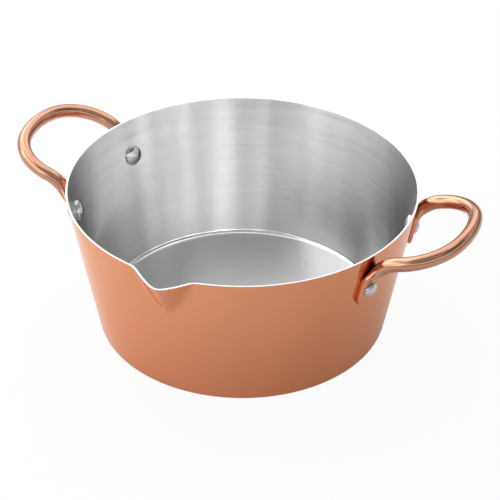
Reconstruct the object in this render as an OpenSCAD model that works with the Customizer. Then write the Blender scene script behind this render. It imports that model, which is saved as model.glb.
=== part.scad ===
// Small deep fryer pot: one drawn sheet with a pressed pour spout, and two
// bent rod handles held by four rivets. Millimetres, +Z up. The origin is the
// middle of the base, the handles lie along X and the spout points to -Y.

/* [Pot] */
// Diameter over the outside of the rim
rim_d = 202.4; // [194:0.2:220]
// Diameter of the base, measured to the sharp corner under its rounding
base_d = 169.6; // [160:0.2:180]
// Height of the rim above the base
pot_h = 90; // [84:0.5:110]
// Thickness of the sheet
sheet_t = 1.2; // [0.8:0.1:2]
// Outside radius of the corner between the base and the wall
corner_r = 4; // [3:0.5:8]

/* [Spout] */
// Width between the two shoulders of the spout
spout_w = 36.4; // [34:0.2:44]
// How far the spout stands out from the rim, at the level of the rim
spout_reach = 9.6; // [6:0.2:11]
// Radius of the tip of the spout, seen from above
spout_tip_r = 8; // [5:0.5:10]
// Radius of the shoulders of the spout, seen from above
spout_shoulder_r = 4; // [3:0.5:6]
// How far below the rim the spout starts to leave the wall
spout_drop = 26; // [20:0.5:32]
// How far below the rim the sides of the spout would run to a point
spout_point_drop = 45; // [40:1:60]
// Swell of the spout's lines on their way to that point, 0 for straight lines
spout_belly = 0.45; // [0:0.05:0.8]
// Slope of the lip of the spout, downwards from the shoulders to the tip
lip_fall = 21; // [0:0.5:25]

/* [Handles] */
// Diameter of the handle rod
rod_d = 8; // [6:0.5:10]
// Distance between the two rivets of a handle
rivet_pitch = 69.2; // [62:0.2:76]
// How far the rod's outer edge stands out from the outside of the rim
handle_reach = 39.6; // [36:0.2:44]
// Radius of the outer stretch of the loop, along the middle of the rod
loop_crown_r = 52; // [46:1:80]
// Straight stretch of each leg between its bend and the rounded loop
leg_l = 0.6; // [0:0.1:3]
// Slope of the loop, upwards from the wall
loop_rise = 16.5; // [0:0.5:25]
// Height of the corner between foot and loop below the rim
loop_drop = 6.2; // [4:0.2:8]
// Radius of the bend between foot and loop, along the middle of the rod
bend_r = 23; // [18:0.5:26]
// Width of the forged foot
foot_w = 14.5; // [12:0.5:18]
// Thickness of the forged foot over the rivet
foot_t = 2.9; // [2:0.1:4]
// How far the foot reaches below the rivet
foot_below = 11.6; // [10:0.2:15]

/* [Rivets] */
// Height of the rivets' middle below the rim
rivet_drop = 22.7; // [21:0.1:26]
// Diameter of the rivet shank and of its holes
rivet_d = 5; // [4:0.5:6]
// Diameter of the domed head inside the pot
inner_head_d = 12; // [9:0.5:13]
// Height of the domed head inside the pot
inner_head_h = 2.8; // [2:0.1:4]
// Diameter of the head over the foot
outer_head_d = 9.2; // [7:0.2:11]
// Height of the head over the foot
outer_head_h = 2.7; // [2:0.1:4]
// Height of the upright edge of a head, under its dome
head_edge = 0.8; // [0.3:0.1:1.2]
// Depth of the seat that the outer head presses into the foot
seat_t = 0.15; // [0.1:0.05:0.3]

/* [Hidden] */
$fn = 96;

copper = "#D9936B";
steel = "#C9CCCD";

rim_r = rim_d / 2;
base_r = base_d / 2;
// Lean of the wall from upright
flare = atan((rim_r - base_r) / pot_h);
// Thickness of the wall measured level, and not square to the wall
level_t = sheet_t / cos(flare);
// How far a cut runs past what it cuts
past = 5;

function outer_r(z) = base_r + (rim_r - base_r) * z / pot_h;
function inner_r(z) = outer_r(z) - level_t;
function unit(v) = v / norm(v);
function mix(a, b, k) = a + (b - a) * k;
function smooth(k) = k <= 0 ? 0 : k >= 1 ? 1 : k * k * (3 - 2 * k);

// Pot: a level section of the space inside a leaning wall with a round corner
module corner_profile(r_foot, z_foot, z_top, r) {
    top = r_foot + (z_top - z_foot) * tan(flare);
    mid_x = r_foot - r * (1 - sin(flare)) / cos(flare);
    mid_z = z_foot + r;
    polygon([
        [0, z_foot],
        [mid_x, z_foot],
        [mid_x + r * cos(flare), mid_z - r * sin(flare)],
        [top, z_top],
        [0, z_top]
    ]);
    translate([mid_x, mid_z]) circle(r);
}

module outer_bowl() rotate_extrude() intersection() {
    corner_profile(base_r, 0, pot_h, corner_r);
    square([rim_r + past, pot_h]);
}

module inner_bowl() rotate_extrude() intersection() {
    corner_profile(inner_r(sheet_t), sheet_t, pot_h + past, corner_r - sheet_t);
    square([rim_r + past, pot_h + past]);
}

// Spout, seen from above: x runs along the rim from the spout's middle. The
// tip is a rounded V and the shoulders run smoothly into the rim's circle.
spout_half = spout_w / 2;
flank = sqrt(spout_reach ^ 2 / (spout_half ^ 2 - 2 * spout_reach * spout_tip_r));
tip_soft = spout_tip_r * flank ^ 2;
shoulder_soft = spout_shoulder_r * flank ^ 2 / 2;
// How far the outline runs on past the shoulders, along the rim
run_on = 3.6;
// How far the spout's solid reaches back from the shoulders into the bowl
spout_back = 8;
// How far the bowed stretch of its sides reaches below spout_drop
spout_below = 4;
outline_steps = 16;

function v_shape(x) = spout_reach + tip_soft - sqrt((flank * x) ^ 2 + tip_soft ^ 2);
function stand_out(x) = (v_shape(x) + sqrt(v_shape(x) ^ 2 + shoulder_soft ^ 2)) / 2;
function lip_point(x) = [x, sqrt(rim_r ^ 2 - x ^ 2) + stand_out(x)];
function lip_normal(x) =
    let(d = 0.01, t = unit(lip_point(x + d) - lip_point(x - d))) [-t[1], t[0]];
function inner_lip_point(x) = lip_point(x) - level_t * lip_normal(x);

// How much of the way to the point the spout's lines have gone at a depth
// below the rim: a parabola, steeper at the rim than at the point
function way_down(depth) =
    let(swell = 1 + spout_belly, share = depth / spout_point_drop)
    2 * share / (swell + sqrt(swell ^ 2 - 4 * spout_belly * share));

// The point to which all lines of the spout's surface run: the line from the
// tip of the spout leaves the wall at spout_drop
tip_r = rim_r + stand_out(0);
point_r = tip_r - (tip_r - outer_r(pot_h - spout_drop)) / way_down(spout_drop);
// Levels of the bowed sides, closer together near the rim
spout_levels = 8;
level_power = 1.5;

// Pyramid with bowed sides over the spout's outline, running to a point
module spout_solid(inside, top_z) {
    point_y = point_r - (inside ? level_t : 0);
    point_z = pot_h - spout_point_drop;
    end_x = spout_half + run_on;
    xs = [for (i = [-outline_steps:outline_steps]) i / outline_steps * end_x];
    lip = [for (x = xs) inside ? inner_lip_point(x) : lip_point(x)];
    back_y = lip[0][1] - spout_back;
    back = [[end_x, back_y], [-end_x, back_y]];
    outline = concat(lip, back);
    n = len(outline);
    lowest = pot_h - spout_drop - spout_below;
    rings = [for (k = [0:spout_levels])
        let(z = mix(top_z, lowest, (k / spout_levels) ^ level_power),
            grow = 1 - way_down(pot_h - z))
        each [for (p = outline) [grow * p[0], -mix(point_y, p[1], grow), z]]];
    polyhedron(
        points = concat(rings, [[0, -point_y, point_z]]),
        faces = concat([[for (i = [0:n - 1]) n - 1 - i]],
            [for (k = [0:spout_levels - 1], i = [0:n - 1])
                let(a = k * n + i, b = k * n + (i + 1) % n)
                each [[a, b, b + n], [a, b + n, a + n]]],
            [for (i = [0:n - 1])
                [spout_levels * n + i, spout_levels * n + (i + 1) % n, (spout_levels + 1) * n]]));
}

// What is cut away above the sloping lip of the spout
module lip_cut() {
    width = 4 * spout_half;
    chord_y = sqrt(rim_r ^ 2 - spout_half ^ 2);
    translate([0, -chord_y, pot_h]) rotate([lip_fall, 0, 0])
        translate([-width / 2, -width, 0]) cube([width, width, width]);
}

// Handle: u runs out from the pot's axis, v along the wall. The middle line
// lies in the upright plane of the rivets as far as the end of the bend, and
// from there in the sloping plane of the loop.
rivet_z = pot_h - rivet_drop;
half_pitch = rivet_pitch / 2;
foot_mid = foot_t / 2;
function foot_u(z) = sqrt((outer_r(z) + foot_mid) ^ 2 - half_pitch ^ 2);
// Turn of a rivet and of its foot round the pot's axis
rivet_turn = asin(half_pitch / (outer_r(rivet_z) + foot_mid));

foot_end = [foot_u(rivet_z - foot_below), rivet_z - foot_below];
bend_corner = [foot_u(pot_h - loop_drop), pot_h - loop_drop];
foot_dir = unit(bend_corner - foot_end);
loop_dir = [cos(loop_rise), sin(loop_rise)];
bend_angle = acos(foot_dir * loop_dir);
bend_start = bend_corner - foot_dir * bend_r * tan(bend_angle / 2);
bend_end = bend_corner + loop_dir * bend_r * tan(bend_angle / 2);
foot_out = [foot_dir[1], -foot_dir[0]];

// Loop, measured along its slope from the end of the bend
loop_len = (rim_r + handle_reach - rod_d / 2 - bend_end[0]) / cos(loop_rise);
crown_mid = loop_len - loop_crown_r;
// The corner's arc starts at the end of the leg and runs smoothly into the crown
bow_r = (loop_crown_r ^ 2 - (leg_l - crown_mid) ^ 2 - half_pitch ^ 2)
    / (2 * (loop_crown_r - half_pitch));
bow_v = half_pitch - bow_r;
crown_angle = asin(bow_v / (loop_crown_r - bow_r));
function on_loop(s, v) = [bend_end[0] + s * loop_dir[0], v, bend_end[1] + s * loop_dir[1]];

// A station of the rod: middle, direction, outward side, and how round the
// section is, from 0 for the flat foot to 1 for the rod
function upright(p, t, out, round) =
    [[p[0], half_pitch, p[1]], [t[0], 0, t[1]], [out[0], 0, out[1]], round, foot_w / 2];
loop_under = [loop_dir[1], 0, -loop_dir[0]];
function on_bow(s, v, a) =
    [on_loop(s, v), [sin(a) * loop_dir[0], -cos(a), sin(a) * loop_dir[1]], loop_under, 1, rod_d / 2];

// The forging is flat up to a little over the rivet's head, and the rod is
// round again just under the corner of the bend
forge_gap = 2;
round_gap = 0.8;
flat_top = rivet_z + outer_head_d / 2 + forge_gap;
round_from = bend_corner[1] - round_gap;
function roundness(z) = smooth((z - flat_top) / (round_from - flat_top));

tip_steps = 6;
foot_steps = 5;
bend_steps = 12;
bow_steps = 9;
crown_steps = 4;
foot_r = foot_w / 2;

first_tip_angle = 7;
tip_stations = [for (i = [0:tip_steps - 1])
    let(a = mix(first_tip_angle, 90, i / (tip_steps - 1)),
        p = foot_end + foot_dir * foot_r * (1 - cos(a)))
    [[p[0], half_pitch, p[1]], [foot_dir[0], 0, foot_dir[1]], [foot_out[0], 0, foot_out[1]],
        0, foot_r * sin(a)]];
foot_stations = [for (i = [1:foot_steps])
    let(p = mix(foot_end + foot_dir * foot_r, bend_start, i / foot_steps))
    upright(p, foot_dir, foot_out, roundness(p[1]))];
bend_stations = [for (i = [1:bend_steps])
    let(a = bend_angle * i / bend_steps,
        t = foot_dir * cos(a) + foot_out * sin(a),
        out = foot_out * cos(a) - foot_dir * sin(a),
        p = bend_start + foot_out * bend_r * (1 - cos(a)) + foot_dir * bend_r * sin(a))
    upright(p, t, out, roundness(p[1]))];
bow_stations = [for (i = [0:bow_steps - 1])
    let(a = mix(90, crown_angle, i / bow_steps))
    on_bow(leg_l + bow_r * cos(a), bow_v + bow_r * sin(a), a)];
crown_stations = [for (i = [0:crown_steps])
    let(a = crown_angle * (1 - i / crown_steps))
    on_bow(crown_mid + loop_crown_r * cos(a), loop_crown_r * sin(a), a)];

half_rod = concat(tip_stations, foot_stations, bend_stations, bow_stations, crown_stations);

// Section of the rod: an ellipse that squares off where it is forged flat.
// Behind the foot it reaches a little into the wall, which then trims it.
ring_sides = 20;
trim_depth = 0.8;
flat_power = 0.45;
function squared(c, power) = sign(c) * abs(c) ^ power;
function ring(st) =
    let(round = st[3],
        turn = rivet_turn * (1 - round),
        side = cross(st[1], st[2]),
        out = st[2] * cos(turn) + side * sin(turn),
        wide = side * cos(turn) - st[2] * sin(turn),
        w = mix(st[4], rod_d / 2, round),
        front = mix(foot_mid, rod_d / 2, round),
        rear = mix(foot_mid + trim_depth, rod_d / 2, round),
        power = mix(flat_power, 1, round))
    [for (j = [0:ring_sides - 1])
        let(a = 360 * j / ring_sides, y = squared(sin(a), power))
        st[0] + wide * w * squared(cos(a), power) + out * y * (y > 0 ? front : rear)];
function other_side(pts) = [for (p = pts) [p[0], -p[1], p[2]]];

module rod_sweep() {
    rings = [for (st = half_rod) ring(st)];
    last = len(rings) - 1;
    sections = concat(rings, [for (i = [1:last]) other_side(rings[last - i])]);
    n = len(sections);
    polyhedron(
        points = [for (r = sections) each r],
        faces = concat(
            [[for (j = [0:ring_sides - 1]) j]],
            [for (i = [0:n - 2], j = [0:ring_sides - 1])
                let(k = (j + 1) % ring_sides, a = i * ring_sides, b = a + ring_sides)
                each [[a + j, b + j, b + k], [a + j, b + k, a + k]]],
            [[for (j = [0:ring_sides - 1]) n * ring_sides - 1 - j]]));
}

// How much wider than the outer head its seat in the foot is
seat_gap = 0.4;
// How deep the head inside the pot starts in the wall, before it is trimmed
head_sink = 1;

// Puts a child on the wall at a rivet, its +Z straight out of the wall
module at_rivet(side) rotate([0, 0, side * rivet_turn])
    translate([outer_r(rivet_z), 0, rivet_z]) rotate([0, 90 + flare, 0]) children();

module rivet_hole() translate([0, 0, -sheet_t - past])
    cylinder(h = sheet_t + foot_t + 2 * past, d = rivet_d);

module pot_body() color(copper) difference() {
    union() {
        outer_bowl();
        spout_solid(false, pot_h);
    }
    inner_bowl();
    spout_solid(true, pot_h + past);
    lip_cut();
    for (turn = [0, 180], side = [-1, 1])
        rotate([0, 0, turn]) at_rivet(side) rivet_hole();
}

module handle() color(copper) difference() {
    rod_sweep();
    cylinder(h = pot_h, r1 = base_r, r2 = rim_r);
    for (side = [-1, 1]) at_rivet(side) {
        rivet_hole();
        translate([0, 0, foot_t - seat_t]) cylinder(h = past, d = outer_head_d + seat_gap);
    }
}

// A domed head with an upright edge, on the level z = 0
module dome(d, h, edge) {
    rise = h - edge;
    r = ((d / 2) ^ 2 + rise ^ 2) / (2 * rise);
    cylinder(h = edge, d = d);
    intersection() {
        translate([0, 0, h - r]) sphere(r);
        translate([0, 0, edge]) cylinder(h = rise, d = d);
    }
}

module rivet(side) color(steel) union() {
    at_rivet(side) {
        translate([0, 0, -sheet_t - head_sink])
            cylinder(h = sheet_t + head_sink + foot_t, d = rivet_d);
        translate([0, 0, foot_t - seat_t]) dome(outer_head_d, outer_head_h, head_edge);
    }
    intersection() {
        at_rivet(side) translate([0, 0, head_sink - sheet_t]) mirror([0, 0, 1])
            dome(inner_head_d, inner_head_h + head_sink, head_edge + head_sink);
        cylinder(h = pot_h, r1 = base_r - level_t, r2 = rim_r - level_t);
    }
}

module right_handle() handle();
module left_handle() rotate([0, 0, 180]) handle();
module rivet_right_front() rivet(-1);
module rivet_right_back() rivet(1);
module rivet_left_front() rotate([0, 0, 180]) rivet(1);
module rivet_left_back() rotate([0, 0, 180]) rivet(-1);

pot_body();
left_handle();
right_handle();
rivet_left_front();
rivet_left_back();
rivet_right_front();
rivet_right_back();
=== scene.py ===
"""Looks of the small deep fryer pot: copper coloured outside, brushed silver inside."""
import math

import bpy
import numpy as np
from mathutils import Matrix, Vector


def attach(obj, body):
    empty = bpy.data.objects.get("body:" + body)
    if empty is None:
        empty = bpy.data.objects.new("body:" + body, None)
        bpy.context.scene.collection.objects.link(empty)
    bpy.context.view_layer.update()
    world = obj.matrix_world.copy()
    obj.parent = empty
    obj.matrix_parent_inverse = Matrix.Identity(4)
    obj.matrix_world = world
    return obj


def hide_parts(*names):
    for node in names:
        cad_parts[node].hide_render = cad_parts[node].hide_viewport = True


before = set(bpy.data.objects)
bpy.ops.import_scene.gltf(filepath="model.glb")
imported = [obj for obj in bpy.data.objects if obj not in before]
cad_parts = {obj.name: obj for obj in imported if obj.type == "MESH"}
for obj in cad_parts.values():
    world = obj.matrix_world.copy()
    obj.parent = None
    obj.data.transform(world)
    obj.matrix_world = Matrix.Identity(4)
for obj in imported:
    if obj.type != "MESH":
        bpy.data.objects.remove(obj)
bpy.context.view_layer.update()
MM = 0.001

# Driving sizes of the pot in millimetres, as in the frame
RIM_R, BASE_R, POT_H = 101.2, 84.8, 90.0
SHEET_T, CORNER_R = 1.2, 4.0
SPOUT_HALF, SPOUT_REACH = 18.2, 9.6
SPOUT_TIP_R, SPOUT_SHOULDER_R = 8.0, 4.0
SPOUT_DROP, SPOUT_POINT_DROP, SPOUT_BELLY = 26.0, 45.0, 0.45
LIP_FALL = math.radians(21)
ROD_R, HALF_PITCH, HANDLE_REACH = 4.0, 34.6, 39.6
CROWN_R, LEG_L, BEND_R = 52.0, 0.6, 23.0
LOOP_RISE, LOOP_DROP = math.radians(16.5), 6.2
FOOT_R, FOOT_T, FOOT_BELOW = 7.25, 2.9, 11.6
FLAT_ABOVE_HEAD, ROUND_BELOW_CORNER = 2, 0.8
FOOT_SINK, FOOT_SQUARE = 0.8, 0.45
RIVET_DROP, RIVET_R = 22.7, 2.5
INNER_HEAD_R, INNER_HEAD_H, INNER_HEAD_SINK = 6.0, 2.8, 0.6
OUTER_HEAD_R, OUTER_HEAD_H = 4.6, 2.7
HEAD_EDGE, SEAT_T, SEAT_GAP = 0.8, 0.15, 0.4
CUT_PAST = 5

# Roundings that the frame leaves to this script, in millimetres
RIM_ROUND = 0.3
CREASE, CREASE_FADE = 2.4, 10.0
LIP_HINGE_SOFT = 1.5
HEAD_ROUND = 0.25

# Sizes that follow from them
FLARE = math.atan((RIM_R - BASE_R) / POT_H)
LEVEL_T = SHEET_T / math.cos(FLARE)
RIVET_Z = POT_H - RIVET_DROP
FOOT_MID = FOOT_T / 2


def outer_r(z):
    return BASE_R + (RIM_R - BASE_R) * z / POT_H


def inner_r(z):
    return outer_r(z) - LEVEL_T


def mix(a, b, k):
    return a + (b - a) * k


def smooth_step(k):
    k = min(1, max(0, k))
    return k * k * (3 - 2 * k)


def unit(v):
    return v / np.linalg.norm(v)


# Meshes

def new_piece(name, points, faces, slots=None):
    """An object at the origin from points in millimetres, with a material slot for each face."""
    mesh = bpy.data.meshes.new(name)
    mesh.from_pydata([tuple(p) for p in np.asarray(points) * MM], [], faces)
    if slots is not None:
        mesh.polygons.foreach_set("material_index", slots)
    mesh.update()
    piece = bpy.data.objects.new(name, mesh)
    bpy.context.scene.collection.objects.link(piece)
    return piece


def close_rows(rows, row_slots=None):
    """Points, faces and slots of a closed skin whose rows are loops, from one pole to the other."""
    n = len(rows[0])
    row_slots = row_slots or [0] * len(rows)
    around = [(j, (j + 1) % n) for j in range(n)]
    points = [rows[0].mean(0), *(point for row in rows for point in row), rows[-1].mean(0)]
    last_row, last_point = 1 + (len(rows) - 1) * n, len(points) - 1
    faces = [(0, 1 + k, 1 + j) for j, k in around]
    for a in range(1, last_row, n):
        faces += [(a + j, a + k, a + n + k, a + n + j) for j, k in around]
    faces += [(last_row + j, last_row + k, last_point) for j, k in around]
    bands = [row_slots[0], *row_slots[:-1], row_slots[-1]]
    return points, faces, [slot for slot in bands for _ in around]


def shade(piece, sharp_deg):
    """Smooth shading, apart from edges sharper than the angle."""
    mesh = piece.data
    mesh.polygons.foreach_set("use_smooth", [True] * len(mesh.polygons))
    mesh.set_sharp_from_angle(angle=math.radians(sharp_deg))
    mesh.update()


def cut_away(piece, cutters):
    """The piece less each cutter, with the cutters deleted."""
    for cutter in cutters:
        modifier = piece.modifiers.new("cut", "BOOLEAN")
        modifier.operation = "DIFFERENCE"
        modifier.solver = "EXACT"
        modifier.object = cutter
        cutter.hide_render = True
    bpy.context.view_layer.update()
    graph = bpy.context.evaluated_depsgraph_get()
    cut = bpy.data.meshes.new_from_object(piece.evaluated_get(graph))
    piece.modifiers.clear()
    old = piece.data
    piece.data = cut
    bpy.data.meshes.remove(old)
    for cutter in cutters:
        mesh = cutter.data
        bpy.data.objects.remove(cutter)
        bpy.data.meshes.remove(mesh)


def lathe(name, profile, place, sides):
    """A solid turned from (radius, height) pairs, from axis to axis, put in place by a matrix."""
    smallest_r = 0.0005
    turns = np.arange(sides) / sides * 2 * math.pi
    ring = np.stack([np.cos(turns), np.sin(turns), np.zeros(sides)], 1)
    rows = [ring * max(r, smallest_r) + [0, 0, z] for r, z in profile]
    points, faces, _ = close_rows(rows)
    return new_piece(name, [place @ Vector(p) for p in points], faces)


# The pot's wall and spout, in cylinder coordinates: the turn is 0 at the spout

FLANK = math.sqrt(SPOUT_REACH ** 2 / (SPOUT_HALF ** 2 - 2 * SPOUT_REACH * SPOUT_TIP_R))
TIP_SOFT = SPOUT_TIP_R * FLANK ** 2
SHOULDER_SOFT = SPOUT_SHOULDER_R * FLANK ** 2 / 2
OUTLINE_HALF, OUTLINE_POINTS = 60, 2401
OUTLINE_X = np.linspace(-OUTLINE_HALF, OUTLINE_HALF, OUTLINE_POINTS)


def stand_out(x):
    """How far the lip stands out of the round rim at a distance from the spout's middle."""
    v = SPOUT_REACH + TIP_SOFT - np.sqrt((FLANK * x) ** 2 + TIP_SOFT ** 2)
    return (v + np.sqrt(v ** 2 + SHOULDER_SOFT ** 2)) / 2


LIP_Y = np.sqrt(RIM_R ** 2 - OUTLINE_X ** 2) + stand_out(OUTLINE_X)
OUTER_LIP = np.stack([OUTLINE_X, LIP_Y], 1)
LIP_ALONG = np.gradient(OUTER_LIP, axis=0)
LIP_ALONG /= np.linalg.norm(LIP_ALONG, axis=1)[:, None]
INNER_LIP = OUTER_LIP - LEVEL_T * np.stack([-LIP_ALONG[:, 1], LIP_ALONG[:, 0]], 1)
TIP_R = RIM_R + float(stand_out(0.0))


def way_down(depth):
    """How much of the way to their point the spout's lines have gone at a depth below the rim."""
    swell, share = 1 + SPOUT_BELLY, depth / SPOUT_POINT_DROP
    return 2 * share / (swell + math.sqrt(swell ** 2 - 4 * SPOUT_BELLY * share))


POINT_R = TIP_R - (TIP_R - outer_r(POT_H - SPOUT_DROP)) / way_down(SPOUT_DROP)


def spout_r(turn, z, inside):
    """Radius of the spout's skin at a turn and height, and none where the spout doesn't reach."""
    if z <= POT_H - SPOUT_POINT_DROP:
        return 0
    grow = 1 - way_down(POT_H - z)
    lip = INNER_LIP if inside else OUTER_LIP
    point = POINT_R - (LEVEL_T if inside else 0)
    x, y = grow * lip[:, 0], mix(point, lip[:, 1], grow)
    turns = np.arctan2(x, y)
    if not turns[0] < turn < turns[-1]:
        return 0
    return float(np.interp(turn, turns, np.hypot(x, y)))


def wall_r(turn, z, inside):
    """Radius of the wall with its spout, whose creases are rounded less and less up to the rim."""
    least = 0.001
    wall = inner_r(z) if inside else outer_r(z)
    spout = spout_r(turn, z, inside)
    soft = CREASE * min(1, max(least, (POT_H - z) / CREASE_FADE))
    near = max(0, 1 - abs(wall - spout) / soft)
    return max(wall, spout) + soft / 4 * near ** 2


def lip_z(turn, inside):
    """Height of the lip, which falls away over the spout, found in rounds that settle."""
    rounds = 12
    chord_y = math.sqrt(RIM_R ** 2 - SPOUT_HALF ** 2)
    z = POT_H
    for _ in range(rounds):
        past = wall_r(turn, z, inside) * math.cos(turn) - chord_y
        if past < -LIP_HINGE_SOFT:
            past = 0
        elif past < LIP_HINGE_SOFT:
            past = (past + LIP_HINGE_SOFT) ** 2 / (4 * LIP_HINGE_SOFT)
        z = POT_H - past * math.tan(LIP_FALL)
    return z


def pot_turns():
    """Columns of the pot's mesh, closer together at the spout."""
    dense, half_dense, wide = 0.25, 16, 0.8
    near = np.arange(-half_dense, half_dense, dense)
    count = round((360 - 2 * half_dense) / wide)
    far = half_dense + np.arange(count) * (360 - 2 * half_dense) / count
    return np.radians(np.concatenate([near, far]))


def corner_rows(r_foot, z_foot, r, steps=12):
    """(radius, height) pairs round the corner from the base to the wall."""
    mid_x = r_foot - r * (1 - math.sin(FLARE)) / math.cos(FLARE)
    mid_z = z_foot + r
    angles = np.linspace(-math.pi / 2, -FLARE, steps)
    return [(mid_x + r * math.cos(a), mid_z + r * math.sin(a)) for a in angles]


COPPER, CUT_RIM, SILVER = 0, 1, 2
BASE_RINGS = 0.02, 0.15, 0.3, 0.45, 0.6, 0.75, 0.88, 0.96, 0.99
LOW_ROWS, SPOUT_ROWS, SPOUT_ROWS_FROM = 12, 24, 58.0
ROUND_OVER = 0.25, 0.5, 0.75, 1.0


def make_pot():
    """The clad sheet: outer skin, cut rim and inner skin, less the rivets' holes."""
    turns = pot_turns()

    def ring(r, z):
        r, z = np.broadcast_to(r, turns.shape), np.broadcast_to(z, turns.shape)
        return np.stack([r * np.sin(turns), -r * np.cos(turns), z], 1)

    def skin(inside):
        """Rows from the middle of the base up to a little below the lip, and the lip's edge."""
        wall = inner_r if inside else outer_r
        z_foot = SHEET_T if inside else 0.0
        corner = corner_rows(wall(z_foot), z_foot, CORNER_R - z_foot)
        flat = [(corner[0][0] * k, z_foot) for k in BASE_RINGS]
        rows = [ring(r, z) for r, z in flat + corner]
        for z in np.linspace(corner[-1][1], SPOUT_ROWS_FROM, LOW_ROWS + 1)[1:]:
            rows.append(ring(wall(z), z))

        def at_heights(heights):
            return ring(np.array([wall_r(t, z, inside) for t, z in zip(turns, heights)]), heights)

        lip = np.array([lip_z(t, inside) for t in turns])
        for k in np.linspace(0, 1, SPOUT_ROWS + 1)[1:]:
            rows.append(at_heights(mix(SPOUT_ROWS_FROM, lip - RIM_ROUND, k)))
        return rows, at_heights(lip)

    def rounded(below, corner, beyond):
        return [below * (1 - k) ** 2 + corner * 2 * k * (1 - k) + beyond * k ** 2
                for k in ROUND_OVER]

    outside, outer_edge = skin(False)
    inside, inner_edge = skin(True)
    across = inner_edge - outer_edge
    across /= np.linalg.norm(across, axis=1)[:, None]
    outer_top = rounded(outside[-1], outer_edge, outer_edge + across * RIM_ROUND)
    inner_top = rounded(inside[-1], inner_edge, inner_edge - across * RIM_ROUND)
    rows = outside + outer_top + inner_top[::-1] + inside[::-1]
    slots = [COPPER] * (len(outside) + 1)
    slots += [CUT_RIM] * (len(outer_top) + len(inner_top) - 2)
    slots += [SILVER] * (len(rows) - len(slots))
    pot = new_piece("pot", *close_rows(rows, slots))
    cut_away(pot, [rivet_cutter(side, half) for half in (0, math.pi) for side in (-1, 1)])
    shade(pot, sharp_deg=40)
    return pot


# Places of the rivets

RIVET_TURN = math.asin(HALF_PITCH / (outer_r(RIVET_Z) + FOOT_MID))


def at_rivet(side, half_turn):
    """Matrix that puts +Z straight out of the wall at a rivet."""
    turn = Matrix.Rotation(half_turn + side * RIVET_TURN, 4, "Z")
    out = Matrix.Translation((outer_r(RIVET_Z), 0, RIVET_Z))
    return turn @ out @ Matrix.Rotation(math.radians(90) + FLARE, 4, "Y")


def rivet_cutter(side, half_turn):
    low, high = -SHEET_T - CUT_PAST, FOOT_T + CUT_PAST
    profile = [(0, low), (RIVET_R, low), (RIVET_R, high), (0, high)]
    return lathe("cutter", profile, at_rivet(side, half_turn), sides=48)


# Handles: the same rod as in the frame, with finer steps

TIP_STEPS, LEG_STEPS, BEND_STEPS, BOW_STEPS, CROWN_STEPS = 16, 15, 33, 33, 13


def foot_u(z):
    """How far out along X the middle of a foot lies at a height."""
    return math.sqrt((outer_r(z) + FOOT_MID) ** 2 - HALF_PITCH ** 2)


def rod_stations():
    """Half a rod from foot to crown: middle, direction, outward side, roundness, half width."""
    end_z, corner_z = RIVET_Z - FOOT_BELOW, POT_H - LOOP_DROP
    foot_end = np.array([foot_u(end_z), end_z])
    corner = np.array([foot_u(corner_z), corner_z])
    along = unit(corner - foot_end)
    out = np.array([along[1], -along[0]])
    loop = np.array([math.cos(LOOP_RISE), math.sin(LOOP_RISE)])
    bend = math.acos(along @ loop)
    bend_start = corner - along * BEND_R * math.tan(bend / 2)
    bend_end = corner + loop * BEND_R * math.tan(bend / 2)
    flat_top = RIVET_Z + OUTER_HEAD_R + FLAT_ABOVE_HEAD
    round_from = corner_z - ROUND_BELOW_CORNER

    def upright(p, t, o, half_width, k=None):
        k = smooth_step((p[1] - flat_top) / (round_from - flat_top)) if k is None else k
        return (np.array([p[0], HALF_PITCH, p[1]]), np.array([t[0], 0, t[1]]),
                np.array([o[0], 0, o[1]]), k, half_width)

    stations = []
    first_deg = 4
    for a in np.radians(np.linspace(first_deg, 90, TIP_STEPS)):
        p = foot_end + along * FOOT_R * (1 - math.cos(a))
        stations.append(upright(p, along, out, FOOT_R * math.sin(a), 0))
    tip_end = foot_end + along * FOOT_R
    for k in np.linspace(0, 1, LEG_STEPS)[1:]:
        stations.append(upright(mix(tip_end, bend_start, k), along, out, FOOT_R))
    for a in np.linspace(0, bend, BEND_STEPS)[1:]:
        t = along * math.cos(a) + out * math.sin(a)
        o = out * math.cos(a) - along * math.sin(a)
        p = bend_start + out * BEND_R * (1 - math.cos(a)) + along * BEND_R * math.sin(a)
        stations.append(upright(p, t, o, FOOT_R))

    length = (RIM_R + HANDLE_REACH - ROD_R - bend_end[0]) / loop[0]
    crown_mid = length - CROWN_R
    bow_r = CROWN_R ** 2 - (LEG_L - crown_mid) ** 2 - HALF_PITCH ** 2
    bow_r /= 2 * (CROWN_R - HALF_PITCH)
    bow_v = HALF_PITCH - bow_r
    crown_angle = math.asin(bow_v / (CROWN_R - bow_r))
    under = np.array([loop[1], 0, -loop[0]])

    def on_loop(s, v, a):
        p = np.array([bend_end[0] + s * loop[0], v, bend_end[1] + s * loop[1]])
        t = np.array([math.sin(a) * loop[0], -math.cos(a), math.sin(a) * loop[1]])
        return p, t, under, 1, ROD_R

    for a in np.linspace(math.pi / 2, crown_angle, BOW_STEPS)[:-1]:
        stations.append(on_loop(LEG_L + bow_r * math.cos(a), bow_v + bow_r * math.sin(a), a))
    for a in np.linspace(crown_angle, 0, CROWN_STEPS):
        stations.append(on_loop(crown_mid + CROWN_R * math.cos(a), CROWN_R * math.sin(a), a))
    return stations


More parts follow.
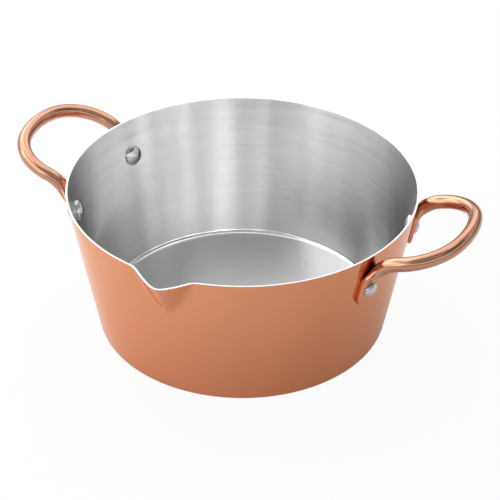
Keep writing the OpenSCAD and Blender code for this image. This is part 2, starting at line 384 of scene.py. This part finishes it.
def rod_ring(station, sides=56):
    """Outline across the rod: a round, or in the foot a flat rounded box turned to the wall."""
    p, along, out, roundness, half_width = station
    turn = RIVET_TURN * (1 - roundness)
    side = np.cross(along, out)
    face = out * math.cos(turn) + side * math.sin(turn)
    wide = side * math.cos(turn) - out * math.sin(turn)
    w = mix(half_width, ROD_R, roundness)
    front = mix(FOOT_MID, ROD_R, roundness)
    rear = mix(FOOT_MID + FOOT_SINK, ROD_R, roundness)
    power = mix(FOOT_SQUARE, 1, roundness)
    a = np.arange(sides) / sides * 2 * math.pi
    c, s = np.cos(a), np.sin(a)
    c = np.sign(c) * np.abs(c) ** power * w
    s = np.sign(s) * np.abs(s) ** power
    s = np.where(s > 0, s * front, s * rear)
    return p + c[:, None] * wide + s[:, None] * face


def make_handle(name, half_turn):
    """A rod less the pot's wall, the rivets' holes and the seats of the outer heads."""
    half = [rod_ring(s) for s in rod_stations()]
    other = [ring * [1, -1, 1] for ring in half[-2::-1]]
    points, faces, _ = close_rows(half + other)
    spin = Matrix.Rotation(half_turn, 4, "Z")
    handle = new_piece(name, [spin @ Vector(p) for p in points], faces)
    pot_profile = [(0, 0), (BASE_R, 0), (RIM_R, POT_H), (0, POT_H)]
    seat_r, seat_low = OUTER_HEAD_R + SEAT_GAP / 2, FOOT_T - SEAT_T
    seat_high = FOOT_T + CUT_PAST
    seat_profile = [(0, seat_low), (seat_r, seat_low), (seat_r, seat_high), (0, seat_high)]
    cutters = [lathe("cutter", pot_profile, Matrix.Identity(4), sides=720)]
    for side in (-1, 1):
        cutters.append(rivet_cutter(side, half_turn))
        cutters.append(lathe("cutter", seat_profile, at_rivet(side, half_turn), sides=64))
    cut_away(handle, cutters)
    shade(handle, sharp_deg=35)
    return handle


def dome(r, h, edge, base, steps=14):
    """(radius, height) pairs of a domed head from its middle down to its edge, over a base."""
    rise = h - edge
    big = (r * r + rise * rise) / (2 * rise)
    fall = math.asin(r / big)
    pairs = [(big * math.sin(a), base + h - big * (1 - math.cos(a)))
             for a in np.linspace(0, fall, steps)]
    rim_r, rim_z = pairs.pop()
    little = HEAD_ROUND * 0.3
    pairs += [(rim_r - HEAD_ROUND, rim_z + little), (rim_r - little, rim_z - little),
              (rim_r, rim_z - HEAD_ROUND)]
    return pairs


def make_rivet(name, side, half_turn):
    """A rivet whose inner head reaches far enough into the curved wall to meet it all round."""
    base, under_head = FOOT_T - SEAT_T, INNER_HEAD_SINK - SHEET_T
    outer = dome(OUTER_HEAD_R, OUTER_HEAD_H, HEAD_EDGE, base)
    inner = [(r, -z) for r, z in dome(INNER_HEAD_R, INNER_HEAD_H, HEAD_EDGE, SHEET_T)]
    shank = [(OUTER_HEAD_R, base), (RIVET_R, base), (RIVET_R, under_head),
             (INNER_HEAD_R, under_head)]
    rivet = lathe(name, outer + shank + inner[::-1], at_rivet(side, half_turn), sides=72)
    shade(rivet, sharp_deg=40)
    return rivet


pot = make_pot()
handles = [make_handle("handle_left", math.pi), make_handle("handle_right", 0.0)]
RIVETS = {"rivet_left_front": (1, math.pi), "rivet_left_back": (-1, math.pi),
          "rivet_right_front": (-1, 0.0), "rivet_right_back": (1, 0.0)}
rivets = [make_rivet("head_" + name, *place) for name, place in RIVETS.items()]


# Materials: a pair of colours is the range that a noise moves the colour in

COPPER_TONES = (0.715, 0.297, 0.155), (0.77, 0.327, 0.177)
COPPER_EDGE_TINT = (1.0, 0.93, 0.88, 1.0)
WALL_TONES = (0.72, 0.722, 0.72), (0.83, 0.832, 0.83)
# Painted shade: the spout's silver is darkened so that the lamps it mirrors come out dimmer
SPOUT_SHADE_TONES = (0.50, 0.502, 0.50), (0.57, 0.572, 0.57)
BASE_TONES = (0.585, 0.59, 0.588), (0.645, 0.65, 0.647)
RIM_TONES = (0.70, 0.70, 0.70), (0.80, 0.80, 0.80)
FOOT_TONES = (0.69, 0.288, 0.15), (0.74, 0.315, 0.17)
LOOP_TONES = (0.50, 0.253, 0.163), (0.55, 0.287, 0.192)
STEEL_TONES = (0.45, 0.46, 0.46), (0.62, 0.63, 0.63)

# Heights between which one finish turns into the next, in metres. For the spout it is the
# distance from the axis, less what the wall has flared at that height. In the spout the
# colour turns into painted shade.
BASE_TO_CORNER = (SHEET_T + 0.02) * MM, (SHEET_T + 0.1) * MM
CORNER_TO_WALL = 3.6 * MM, 4.4 * MM
WALL_TO_SPOUT = (inner_r(0) + 0.1) * MM, (inner_r(0) + 1) * MM
FOOT_TO_LOOP = 74 * MM, 80 * MM


def start_material(name):
    material = bpy.data.materials.new(name)
    material.use_nodes = True
    tree = material.node_tree
    tree.nodes.clear()
    out = tree.nodes.new("ShaderNodeOutputMaterial")
    shader = tree.nodes.new("ShaderNodeBsdfPrincipled")
    tree.links.new(shader.outputs["BSDF"], out.inputs["Surface"])
    return material, tree, shader


def add(tree, kind, inputs=None, **settings):
    """A node with its settings, and inputs that are numbers, colours or other nodes' outputs."""
    node = tree.nodes.new(kind)
    for name, value in settings.items():
        setattr(node, name, value)
    for key, value in (inputs or {}).items():
        if isinstance(value, bpy.types.NodeSocket):
            tree.links.new(value, node.inputs[key])
        else:
            node.inputs[key].default_value = value
    return node


def math_node(tree, operation, a, b=0.0):
    return add(tree, "ShaderNodeMath", {0: a, 1: b}, operation=operation).outputs[0]


def vector_node(tree, operation, inputs, output=0):
    return add(tree, "ShaderNodeVectorMath", inputs, operation=operation).outputs[output]


def object_place(tree):
    return add(tree, "ShaderNodeTexCoord").outputs["Object"]


def height_of(tree, place):
    return add(tree, "ShaderNodeSeparateXYZ", {0: place}).outputs["Z"]


def round_axis(tree):
    """The distance from the pot's axis, the height, and the place as seen from above."""
    place = object_place(tree)
    flat = vector_node(tree, "MULTIPLY", {0: place, 1: (1, 1, 0)})
    return vector_node(tree, "LENGTH", {0: flat}, "Value"), height_of(tree, place), flat


def brush_coordinates(tree, around, across):
    """Coordinates that change slowly round the pot's axis and fast along its profile."""
    radius, height, flat = round_axis(tree)
    turn = vector_node(tree, "NORMALIZE", {0: flat})
    turn = vector_node(tree, "SCALE", {0: turn, "Scale": around})
    along = math_node(tree, "MULTIPLY", math_node(tree, "ADD", radius, height), across)
    rise = add(tree, "ShaderNodeCombineXYZ", {"Z": along}).outputs[0]
    return vector_node(tree, "ADD", {0: turn, 1: rise})


def noise(tree, vector, scale, detail=3.0, roughness=0.55):
    values = {"Vector": vector, "Scale": scale, "Detail": detail, "Roughness": roughness}
    return add(tree, "ShaderNodeTexNoise", values).outputs[0]


def weigh(tree, a, b, share):
    """Two noises summed, with a share for the first and the rest for the second."""
    a, b = math_node(tree, "MULTIPLY", a, share), math_node(tree, "MULTIPLY", b, 1 - share)
    return math_node(tree, "ADD", a, b)


def spread(tree, value, low, high, from_low=0.3, from_high=0.7):
    """A value spread from low to high; without its own range, a noise, which lies near 0.5."""
    values = {0: value, 1: from_low, 2: from_high, 3: low, 4: high}
    return add(tree, "ShaderNodeMapRange", values).outputs[0]


def blend_colours(tree, k, low, high):
    """A colour between two others, each written as numbers or taken from a node."""
    low, high = (c if isinstance(c, bpy.types.NodeSocket) else (*c, 1) for c in (low, high))
    return add(tree, "ShaderNodeMix", {0: k, 6: low, 7: high}, data_type="RGBA").outputs[2]


def tinted(tree, value, tones):
    return blend_colours(tree, spread(tree, value, 0, 1), *tones)


def make_metal(tree, shader, colour, roughness):
    tree.links.new(colour, shader.inputs["Base Color"])
    tree.links.new(roughness, shader.inputs["Roughness"])
    shader.inputs["Metallic"].default_value = 1


def bump(tree, shader, height, strength, distance):
    values = {"Height": height, "Strength": strength, "Distance": distance}
    normal = add(tree, "ShaderNodeBump", values).outputs[0]
    tree.links.new(normal, shader.inputs["Normal"])


def copper_sheet():
    """Smooth copper with a faint spun grain and slow changes of tone."""
    material, tree, shader = start_material("copper_sheet")
    cloud = noise(tree, object_place(tree), scale=14)
    grain = noise(tree, brush_coordinates(tree, around=5, across=1400), scale=1, detail=2)
    tone = weigh(tree, cloud, grain, 0.7)
    make_metal(tree, shader, tinted(tree, tone, COPPER_TONES), spread(tree, tone, 0.13, 0.17))
    shader.inputs["Specular Tint"].default_value = COPPER_EDGE_TINT
    bump(tree, shader, grain, strength=0.04, distance=0.0001)
    return material


def silver_sheet():
    """Silver sheet brushed round the pot.

    The base is darker and duller than the wall, the corner between them is smoother, and the
    pressed spout is dull and takes painted shade, a darker colour, so that it doesn't mirror
    a lamp as plain white.
    """
    material, tree, shader = start_material("silver_sheet")
    fine = noise(tree, brush_coordinates(tree, around=4, across=1500), scale=1)
    coarse = noise(tree, brush_coordinates(tree, around=1.6, across=640), scale=1)
    tone = weigh(tree, fine, coarse, 0.4)
    radius, height, _ = round_axis(tree)
    flared_by = math_node(tree, "MULTIPLY", height, math.tan(FLARE))
    radius_at_foot = math_node(tree, "SUBTRACT", radius, flared_by)
    in_spout = spread(tree, radius_at_foot, 0, 1, *WALL_TO_SPOUT)
    above_base = spread(tree, height, 0, 1, *BASE_TO_CORNER)

    # The spout's colour is painted shade, darker than the wall's silver
    wall, spout, base = (tinted(tree, tone, t) for t in (WALL_TONES, SPOUT_SHADE_TONES, BASE_TONES))
    colour = blend_colours(tree, above_base, base, blend_colours(tree, in_spout, wall, spout))
    rough = spread(tree, tone, 0.217, 0.241)
    for change in (spread(tree, height, 0.06, -0.12, *BASE_TO_CORNER),
                   spread(tree, height, 0, 0.12, *CORNER_TO_WALL),
                   math_node(tree, "MULTIPLY", in_spout, 0.1)):
        rough = math_node(tree, "ADD", rough, change)
    make_metal(tree, shader, colour, rough)

    tangent = add(tree, "ShaderNodeTangent", direction_type="RADIAL", axis="Z").outputs[0]
    tree.links.new(tangent, shader.inputs["Tangent"])
    shader.inputs["Anisotropic"].default_value = 0.92
    shader.inputs["Anisotropic Rotation"].default_value = 0.25
    bump(tree, shader, fine, strength=0.05, distance=0.0001)
    return material


def cut_rim():
    """Bright sheared edge of the sheet."""
    material, tree, shader = start_material("cut_rim")
    grain = noise(tree, brush_coordinates(tree, around=30, across=2500), scale=1, detail=2)
    colour = blend_colours(tree, grain, *RIM_TONES)
    make_metal(tree, shader, colour, spread(tree, grain, 0.3, 0.45))
    return material


def copper_rod():
    """Polished copper rod, darker in the loop, with soft waves and fine polishing marks."""
    material, tree, shader = start_material("copper_rod")
    place = object_place(tree)
    wave = noise(tree, place, scale=60, detail=2)
    marks = noise(tree, place, scale=900, detail=2)
    in_loop = spread(tree, height_of(tree, place), 0, 1, *FOOT_TO_LOOP)
    foot, loop = (tinted(tree, wave, tones) for tones in (FOOT_TONES, LOOP_TONES))
    colour = blend_colours(tree, in_loop, foot, loop)
    make_metal(tree, shader, colour, spread(tree, marks, 0.16, 0.22))
    bump(tree, shader, wave, strength=0.08, distance=0.0004)
    return material


def rivet_steel():
    """Polished steel heads with a faint hammered surface."""
    material, tree, shader = start_material("rivet_steel")
    place = object_place(tree)
    dents = noise(tree, place, scale=350, detail=2)
    marks = noise(tree, place, scale=1500, detail=2)
    make_metal(tree, shader, tinted(tree, marks, STEEL_TONES), spread(tree, marks, 0.06, 0.12))
    bump(tree, shader, dents, strength=0.25, distance=0.0004)
    return material


def stand_for(piece, node):
    """The piece rides on the root in place of a node, which is hidden."""
    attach(piece, "root")
    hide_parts(node)


for material in (copper_sheet(), cut_rim(), silver_sheet()):
    pot.data.materials.append(material)
stand_for(pot, "pot_body")

rod_material = copper_rod()
for handle, node in zip(handles, ("left_handle", "right_handle")):
    handle.data.materials.append(rod_material)
    stand_for(handle, node)

head_material = rivet_steel()
for rivet, node in zip(rivets, RIVETS):
    rivet.data.materials.append(head_material)
    stand_for(rivet, node)


# Floor, light and camera, in metres

CAMERA_AZIMUTH = math.radians(25.0)
CAMERA_OUT, CAMERA_UP = 0.85, 0.6255
CAMERA_PITCH, CAMERA_YAW, CAMERA_ROLL = (math.radians(v) for v in (34.36, 0.30, 0.27))
FOCAL_PX, PHOTO_PX, SENSOR_MM = 1752.0, 500.0, 36.0
WHITE, FLOOR_GREY = (1, 1, 1, 1), (0.86, 0.86, 0.86, 1)
FLOOR_HALF = 4.0
WORLD_LIGHT = 0.19
LAMP_AIM = Vector((0, 0, 0.05))
LAMP_WATTS = 4


def seen_share(tree, camera, metal):
    """How much of a surface or world is plain white, to the camera and in reflections."""
    path = add(tree, "ShaderNodeLightPath").outputs
    mirrored = math_node(tree, "MAXIMUM", path["Is Glossy Ray"], path["Is Transmission Ray"])
    mirrored = math_node(tree, "MULTIPLY", mirrored, metal)
    direct = math_node(tree, "MULTIPLY", path["Is Camera Ray"], camera)
    return math_node(tree, "MAXIMUM", direct, mirrored)


def mix_shaders(tree, share, lit, white):
    return add(tree, "ShaderNodeMixShader", {0: share, 1: lit, 2: white}).outputs[0]


def make_floor():
    mesh = bpy.data.meshes.new("floor")
    half = FLOOR_HALF
    corners = [(-half, -half, 0), (half, -half, 0), (half, half, 0), (-half, half, 0)]
    mesh.from_pydata(corners, [], [(0, 1, 2, 3)])
    floor = bpy.data.objects.new("floor", mesh)
    bpy.context.scene.collection.objects.link(floor)
    material = bpy.data.materials.new("floor")
    material.use_nodes = True
    tree = material.node_tree
    tree.nodes.clear()
    matt = add(tree, "ShaderNodeBsdfDiffuse", {"Color": FLOOR_GREY}).outputs[0]
    white = add(tree, "ShaderNodeEmission", {"Color": WHITE, "Strength": 1.0}).outputs[0]
    mixed = mix_shaders(tree, seen_share(tree, camera=0.94, metal=0.1), matt, white)
    add(tree, "ShaderNodeOutputMaterial", {"Surface": mixed})
    mesh.materials.append(material)


def make_world():
    world = bpy.data.worlds.new("studio")
    bpy.context.scene.world = world
    world.use_nodes = True
    tree = world.node_tree
    tree.nodes.clear()
    soft, white = (add(tree, "ShaderNodeBackground", {"Color": WHITE, "Strength": s}).outputs[0]
                   for s in (WORLD_LIGHT, 1.0))
    mixed = mix_shaders(tree, seen_share(tree, camera=1.0, metal=0.05), soft, white)
    add(tree, "ShaderNodeOutputWorld", {"Surface": mixed})


def soft_box(name, azimuth, elevation, width, height, brightness, distance=1.6):
    """A lamp that looks at the pot.

    Its azimuth is 0 at the photo's camera, 90 at its right and 180 behind the pot. Its
    brightness is in steps of LAMP_WATTS per square metre, 0.785 of what a mirror shows of it.
    """
    a, e = math.radians(azimuth) + CAMERA_AZIMUTH, math.radians(elevation)
    back = Vector((math.sin(a) * math.cos(e), -math.cos(a) * math.cos(e), math.sin(e)))
    level = Vector((math.cos(a), math.sin(a), 0))
    lamp = bpy.data.lights.new(name, "AREA")
    lamp.shape = "RECTANGLE"
    lamp.size, lamp.size_y = width, height
    lamp.energy = LAMP_WATTS * brightness * width * height
    box = bpy.data.objects.new(name, lamp)
    bpy.context.scene.collection.objects.link(box)
    turn = Matrix((level, back.cross(level), back)).transposed().to_4x4()
    box.matrix_world = Matrix.Translation(back * distance + LAMP_AIM) @ turn


def make_camera():
    """The photo's camera, as solved from the rim, the base and the floor edge inside."""
    data = bpy.data.cameras.new("camera")
    data.sensor_width = SENSOR_MM
    data.lens = FOCAL_PX / PHOTO_PX * SENSOR_MM
    camera = bpy.data.objects.new("camera", data)
    bpy.context.scene.collection.objects.link(camera)
    forward = Vector((math.sin(CAMERA_YAW) * math.cos(CAMERA_PITCH),
                      math.cos(CAMERA_YAW) * math.cos(CAMERA_PITCH), -math.sin(CAMERA_PITCH)))
    right = forward.cross(Vector((0, 0, 1))).normalized()
    up = right.cross(forward)
    rolled = math.cos(CAMERA_ROLL) * right + math.sin(CAMERA_ROLL) * up
    up = math.cos(CAMERA_ROLL) * up - math.sin(CAMERA_ROLL) * right
    turn = Matrix((rolled, up, -forward)).transposed().to_4x4()
    round_pot = Matrix.Rotation(CAMERA_AZIMUTH, 4, "Z")
    camera.matrix_world = round_pot @ Matrix.Translation((0, -CAMERA_OUT, CAMERA_UP)) @ turn
    bpy.context.scene.camera = camera


make_floor()
make_world()
# Azimuth and elevation in degrees, width, height, brightness and distance
soft_box("left_low", 285, 24, 2.6, 1.4, 1.2, 2.0)
soft_box("left_high", 250, 50, 2.6, 1.2, 0.76, 2.0)
soft_box("left_back", 228, 28, 2.6, 1.3, 1.12, 2.0)
soft_box("front_left", 328, 20, 1.25, 0.56, 0.75)
soft_box("front", 25, 18, 2.13, 0.56, 0.8)
soft_box("front_top", 0, 60, 1.8, 0.9, 0.25)
soft_box("right", 85, 20, 1.4, 0.56, 0.5)
soft_box("right_back", 135, 30, 1.4, 0.9, 0.4)
soft_box("back", 183, 40, 1.8, 1.16, 1.18)
soft_box("top", 180, 75, 1.85, 0.86, 1.1)
make_camera()
bpy.context.scene.view_settings.view_transform = "Standard"
